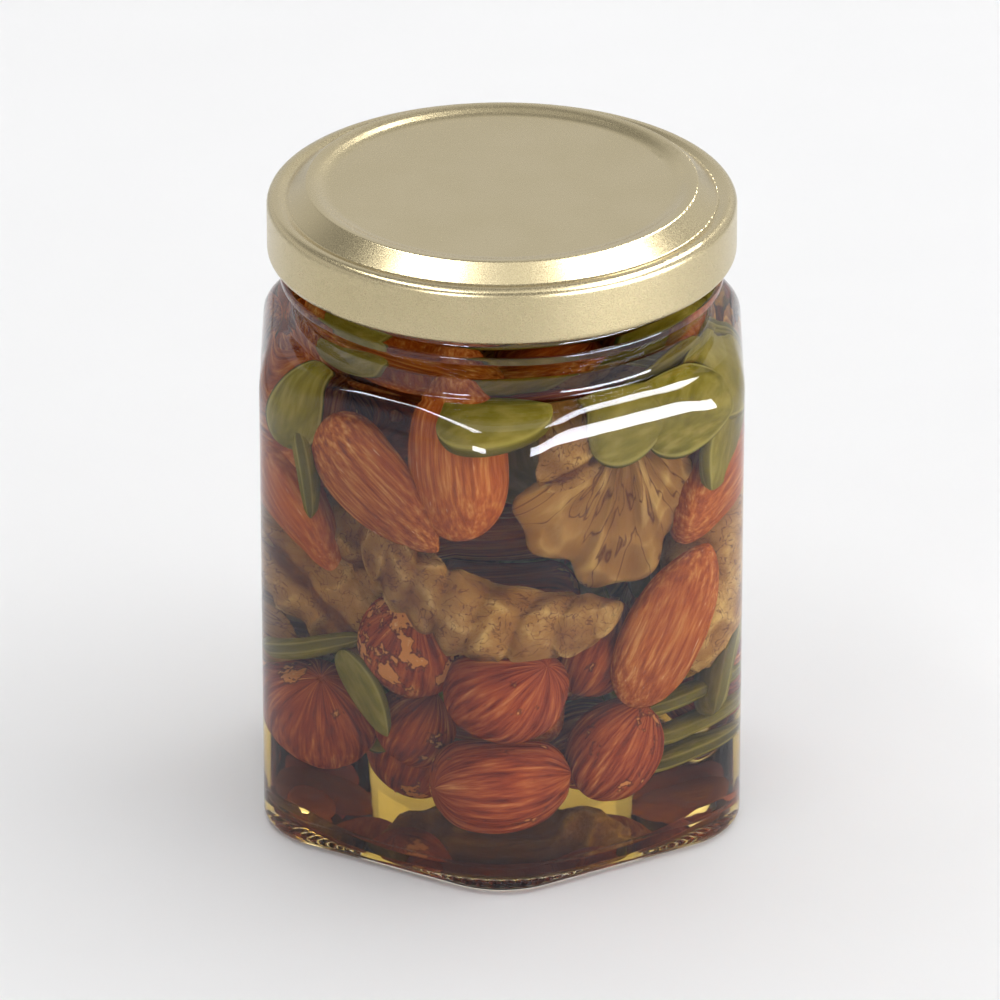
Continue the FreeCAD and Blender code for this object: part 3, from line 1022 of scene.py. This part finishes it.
def seed_material():
    nodes = Nodes("pumpkin_seed_skin")
    dry_look(nodes)
    place = nodes.attribute("grain", "Vector")
    rim = nodes.attribute("height", "Fac")
    mottled = nodes.noise(nodes.mapped(place, (0.3, 1.0, 1.0)), 0.8, 4.0, 0.6)
    color = nodes.ramp(mottled, [
        (0.3, linear(92, 84, 20)),
        (0.5, linear(118, 108, 36)),
        (0.7, linear(144, 132, 66)),
    ])
    # Painted highlight: a paler band just inside the rim; painted shade: a dark line right at the rim.
    color = nodes.mix(nodes.remap(rim, 0.82, 0.9, 0.0, 0.55), color, linear(168, 158, 92))
    color = nodes.mix(nodes.remap(rim, 0.93, 0.985, 0.0, 0.85), color, linear(58, 52, 14))
    tone = nodes.attribute("tone", "Fac")
    color = nodes.mix(nodes.remap(tone, 0, 0.75, 0.0, 0.35), color, linear(148, 134, 62))
    nodes.link(color, nodes.shader.inputs["Base Color"])
    nodes.bump(mottled, 0.4, 0.0003)
    return nodes.material


def lid_material():
    """Satin gold lacquer with a fine grain."""
    nodes = Nodes("gold_lacquer")
    place = nodes.mapped(nodes.object_place(), (1000, 1000, 1000))
    cloudy = nodes.noise(place, 0.12, 3.0)
    color = nodes.mix(nodes.remap(cloudy, 0.35, 0.65, 0, 1), linear(196, 182, 146), linear(193, 179, 142))
    nodes.link(color, nodes.shader.inputs["Base Color"])
    grain = nodes.noise(place, 6.5, 2.0)
    nodes.link(nodes.remap(grain, 0.3, 0.7, 0.22, 0.32), nodes.shader.inputs["Roughness"])
    nodes.set(Metallic=1.0)
    nodes.bump(grain, 0.07, 0.00004)
    return nodes.material


# ---------------------------------------------------------------- studio

def make_floor():
    """Pale floor just under the glass."""
    half = 4000
    low = -0.05
    vertices = [(-half, -half, low), (half, -half, low), (half, half, low), (-half, half, low)]
    nodes = Nodes("pale_floor")
    nodes.set(Roughness=0.9, Specular_IOR_Level=0.1)
    place = nodes.object_place()
    greys = [(0.3, (0.86, 0.86, 0.86, 1)), (0.7, (0.87, 0.87, 0.87, 1))]
    color = nodes.ramp(nodes.noise(place, 30, 2.0), greys)
    nodes.link(color, nodes.shader.inputs["Base Color"])
    return make_object("floor", vertices, [[0, 1, 2, 3]], [nodes.material])


def panel_light(name, middle, aim, width, height, radiance):
    """Rectangular soft box out of the camera's sight; places in millimetres."""
    lamp = bpy.data.lights.new(name, "AREA")
    lamp.shape = "RECTANGLE"
    lamp.size = width * MM
    lamp.size_y = height * MM
    lamp.energy = radiance * math.pi * width * height * MM * MM
    made = bpy.data.objects.new(name, lamp)
    bpy.context.scene.collection.objects.link(made)
    made.location = np.array(middle) * MM
    made.rotation_mode = "QUATERNION"
    toward = Vector(np.array(aim, float) - np.array(middle, float))
    made.rotation_quaternion = toward.to_track_quat("-Z", "Y")
    made.visible_camera = False
    return made


def highlight_card(name, middle, aim, width, height, radiance):
    """Bright card that only shows as a reflection."""
    made = panel_light(name, middle, aim, width, height, radiance)
    made.visible_diffuse = False
    made.visible_transmission = False
    made.visible_volume_scatter = False
    return made


# How far up in the sky, and its grey there
SKY_GREYS = ((0.4, 0.78), (0.62, 0.26), (0.78, 0.28), (0.95, 0.5))


def make_world():
    """Sky whose grey depends on the height looked at: bright low down, darker above."""
    world = bpy.data.worlds.new("studio")
    bpy.context.scene.world = world
    world.use_nodes = True
    tree = world.node_tree
    background = tree.nodes["Background"]
    direction = tree.nodes.new("ShaderNodeTexCoord")
    parts = tree.nodes.new("ShaderNodeSeparateXYZ")
    fade = tree.nodes.new("ShaderNodeValToRGB")
    elements = fade.color_ramp.elements
    elements.new(0.75)
    elements.new(0.93)
    for element, (place, grey) in zip(elements, SKY_GREYS):
        element.position = place
        element.color = (grey, grey, grey * 1.02, 1)
    tree.links.new(direction.outputs["Generated"], parts.inputs["Vector"])
    tree.links.new(parts.outputs["Z"], fade.inputs["Fac"])
    tree.links.new(fade.outputs["Color"], background.inputs["Color"])
    background.inputs["Strength"].default_value = 1.0


def make_studio():
    """Soft boxes round the jar, and cards for the white bands on its shoulder."""
    scene = bpy.context.scene
    scene.view_settings.view_transform = "Standard"
    scene.view_settings.look = "None"
    scene.cycles.max_bounces = 20
    scene.cycles.transmission_bounces = 16
    scene.cycles.glossy_bounces = 6
    make_world()
    aim = (0, 0, 50)
    panel_light("overhead_left", (-330, -110, 850), aim, 640, 55, 8)
    panel_light("overhead_right", (480, 70, 850), aim, 900, 190, 5.5)
    panel_light("ceiling", (20, -200, 880), aim, 760, 240, 0.7)
    panel_light("back", (60, 760, 620), aim, 1000, 320, 0.3)
    panel_light("low_right", (760, -480, 105), aim, 900, 200, 4)
    panel_light("front_left", (-380, -850, 330), aim, 220, 200, 4)
    fill = panel_light("back_fill", (-80, 430, 850), aim, 900, 500, 1.6)
    fill.visible_glossy = False
    highlight_card("card_left", (-330, -110, 840), aim, 640, 110, 12)
    highlight_card("card_high", (470, 70, 835), aim, 900, 260, 14)
    highlight_card("card_low", (740, -468, 150), aim, 900, 330, 20)
    highlight_card("card_front", (-376, -840, 327), aim, 220, 200, 18)


def make_camera():
    """Camera fitted to the outline of the jar in the photo."""
    elevation = math.radians(26)
    distance = 1195.3
    aim = np.array([-0.245, 0, 40.47])
    lens = bpy.data.cameras.new("camera")
    lens.lens = 326.9
    lens.sensor_width = 36
    lens.clip_start = 0.01
    lens.clip_end = 50
    camera = bpy.data.objects.new("camera", lens)
    bpy.context.scene.collection.objects.link(camera)
    camera.location = (aim + distance * np.array([0, -math.cos(elevation), math.sin(elevation)])) * MM
    camera.rotation_euler = (math.pi / 2 - elevation, 0, 0)
    bpy.context.scene.camera = camera


# ---------------------------------------------------------------- building

glass = make_glass()
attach(glass, "root")
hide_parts("jar")

honey = make_honey()
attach(honey, "root")
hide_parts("honey")

nuts = settle(held_inside(shown_nuts()) + hidden_nuts(np.random.default_rng(SEED)))
for name, kinds, material in (
    ("almonds", ("almond",), almond_material()),
    ("hazelnuts", ("hazelnut", "peeled_hazelnut"), hazelnut_material()),
    ("walnuts", ("walnut", "curved_walnut", "walnut_fan"), walnut_material()),
    ("pumpkin_seeds", ("pumpkin_seed",), seed_material()),
):
    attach(kind_object(name, kinds, nuts, material), "root")

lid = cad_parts["lid"]
lid.data.materials.clear()
lid.data.materials.append(lid_material())

make_floor()
make_studio()
make_camera()
